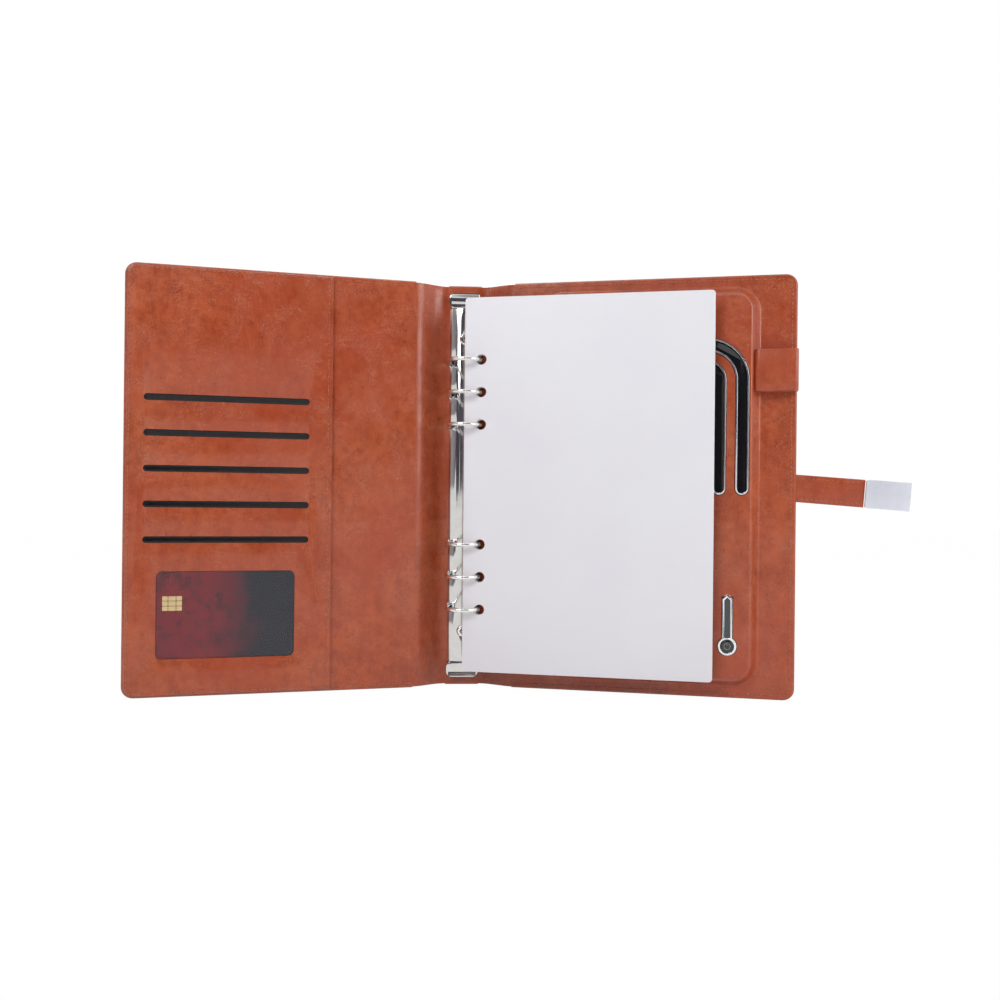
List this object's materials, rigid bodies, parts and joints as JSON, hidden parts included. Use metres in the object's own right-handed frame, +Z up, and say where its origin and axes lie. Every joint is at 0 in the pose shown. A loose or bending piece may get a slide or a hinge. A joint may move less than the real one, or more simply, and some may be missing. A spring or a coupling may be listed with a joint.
{
  "type": "power bank notebook",
  "caption": "Leather ring-binder notebook with hinged covers, split-ring mechanism, card pocket, closure strap and a power bank built into the back cover.",
  "frame": {"origin": "foot of the spine, middle of its width and of its thickness", "axes": "+Z up the spine, +X across the open book towards the back cover, -Y towards the reader"},
  "size_m": [0.437, 0.0725, 0.242],
  "materials": {
    "case_leather": "fine-grained tan artificial leather, soft sheen",
    "lining_leather": "fine-grained tan artificial leather, soft sheen",
    "grey_board": "grey board",
    "dark_plastic": "moulded",
    "cell_foil": "laminated foil",
    "board_green": "lacquered circuit board",
    "socket_steel": "plated sheet",
    "black_gloss": "glossy black",
    "bright_trim": "bright plated edge",
    "smoked_window": "smoked clear plastic",
    "clip_metal": "satin sheet metal",
    "magnet_nickel": "nickel plated",
    "ring_steel": "bright nickel plating",
    "page_paper": "plain white sheets",
    "cover_card": "off-white smooth card",
    "black_fabric": "black binding tape",
    "clear_film": "clear vinyl film",
    "card_plastic": "glossy printed card"
  },
  "bodies": {
    "back_cover": {"back_cover_leather": "case_leather", "back_cover_board": "grey_board", "back_cover_lining": "lining_leather", "power_bank_tray": "dark_plastic", "power_bank_lid": "dark_plastic", "battery_cells": "cell_foil", "circuit_board": "board_green", "socket_board": "board_green", "usb_output_shell": "socket_steel", "usb_output_tongue": "black_gloss", "usb_input_shell": "socket_steel", "usb_input_tongue": "black_gloss", "cable_channel_outer": "black_gloss", "cable_channel_inner": "black_gloss", "channel_rim_outer": "bright_trim", "channel_rim_inner": "bright_trim", "indicator_bezel": "bright_trim", "indicator_window": "smoked_window", "charge_lights": "board_green", "indicator_post": "dark_plastic", "button_switch": "dark_plastic", "pen_loop": "case_leather", "back_hinge_leather": "case_leather", "back_hinge_lining": "lining_leather"},
    "power_button": {"power_button": "black_gloss"},
    "strap": {"closure_strap": "case_leather"},
    "clip": {"strap_clip": "clip_metal", "strap_tongue": "case_leather", "clip_magnet": "magnet_nickel"},
    "spine": {"spine_leather": "case_leather", "spine_board": "grey_board", "spine_lining": "lining_leather", "ring_rail": "ring_steel", "rail_rivets": "ring_steel", "front_hinge_leather": "case_leather", "front_hinge_lining": "lining_leather"},
    "left_rings": {"left_hinge_plate": "ring_steel", "left_half_rings_upper": "ring_steel", "left_half_rings_lower": "ring_steel"},
    "right_rings": {"right_hinge_plate": "ring_steel", "right_half_rings_upper": "ring_steel", "right_half_rings_lower": "ring_steel"},
    "top_lever": {"top_lever": "ring_steel"},
    "bottom_lever": {"bottom_lever": "ring_steel"},
    "page_block": {"page_block": "page_paper", "notebook_back_sheet": "cover_card"},
    "front_sheet": {"notebook_front_sheet": "cover_card"},
    "front_cover": {"front_cover_leather": "case_leather", "front_cover_board": "grey_board", "front_cover_lining": "lining_leather", "pocket_sheet": "lining_leather", "slot_bindings": "black_fabric", "pocket_liner": "black_fabric", "window_film": "clear_film", "window_card": "card_plastic", "keeper_plate": "socket_steel"}
  },
  "joints": [
    {"name": "back_cover_hinge", "type": "hinge", "parent": "back_cover", "child": "spine", "pos_m": [0.01971, -0.00716, 0], "axis": [0, 0, 1], "range_deg": [-15, 75], "deforming": ["back_hinge_leather", "back_hinge_lining"]},
    {"name": "front_cover_hinge", "type": "hinge", "parent": "spine", "child": "front_cover", "pos_m": [-0.01971, -0.00716, 0], "axis": [0, 0, 1], "range_deg": [-12, 80.9], "deforming": ["front_hinge_leather", "front_hinge_lining"]},
    {"name": "page_block_swing", "type": "hinge", "parent": "spine", "child": "page_block", "pos_m": [0, -0.02, 0], "axis": [0, 0, 1], "range_deg": [-75.3, 15.3]},
    {"name": "front_sheet_turn", "type": "hinge", "parent": "page_block", "child": "front_sheet", "pos_m": [0, -0.02, 0], "axis": [0, 0, 1], "range_deg": [-148, 0]},
    {"name": "ring_opening", "type": "hinge", "parent": "spine", "child": "left_rings", "pos_m": [-0.0082, -0.004, 0], "axis": [0, 0, 1], "range_deg": [-7, 0]},
    {"name": "right_ring_opening", "type": "hinge", "parent": "spine", "child": "right_rings", "pos_m": [0.0082, -0.004, 0], "axis": [0, 0, 1], "range_deg": [0, 7]},
    {"name": "top_lever_press", "type": "hinge", "parent": "spine", "child": "top_lever", "pos_m": [0, -0.004, 0.2258], "axis": [1, 0, 0], "range_deg": [-16, 0]},
    {"name": "bottom_lever_press", "type": "hinge", "parent": "spine", "child": "bottom_lever", "pos_m": [0, -0.004, 0.0162], "axis": [1, 0, 0], "range_deg": [0, 16]},
    {"name": "power_button_press", "type": "slide", "parent": "back_cover", "child": "power_button", "axis": [0.2588, 0.9659, 0], "range_m": [0, 0.0006], "stiffness_N_per_m": 500},
    {"name": "strap_fold", "type": "hinge", "parent": "back_cover", "child": "strap", "pos_m": [0.18874, -0.05295, 0.1204], "axis": [0, 0, -1], "range_deg": [-30, 90]},
    {"name": "clip_fold", "type": "hinge", "parent": "strap", "child": "clip", "pos_m": [0.22259, -0.06202, 0.11766], "axis": [-0.0724, 0.0194, -0.9972], "range_deg": [0, 90]}
  ],
  "couplings": [
    {"joint": "page_block_swing", "follows": "back_cover_hinge", "ratio": -1},
    {"joint": "right_ring_opening", "follows": "ring_opening", "ratio": -1},
    {"joint": "top_lever_press", "follows": "ring_opening", "ratio": 2.2857},
    {"joint": "bottom_lever_press", "follows": "ring_opening", "ratio": -2.2857}
  ]
}
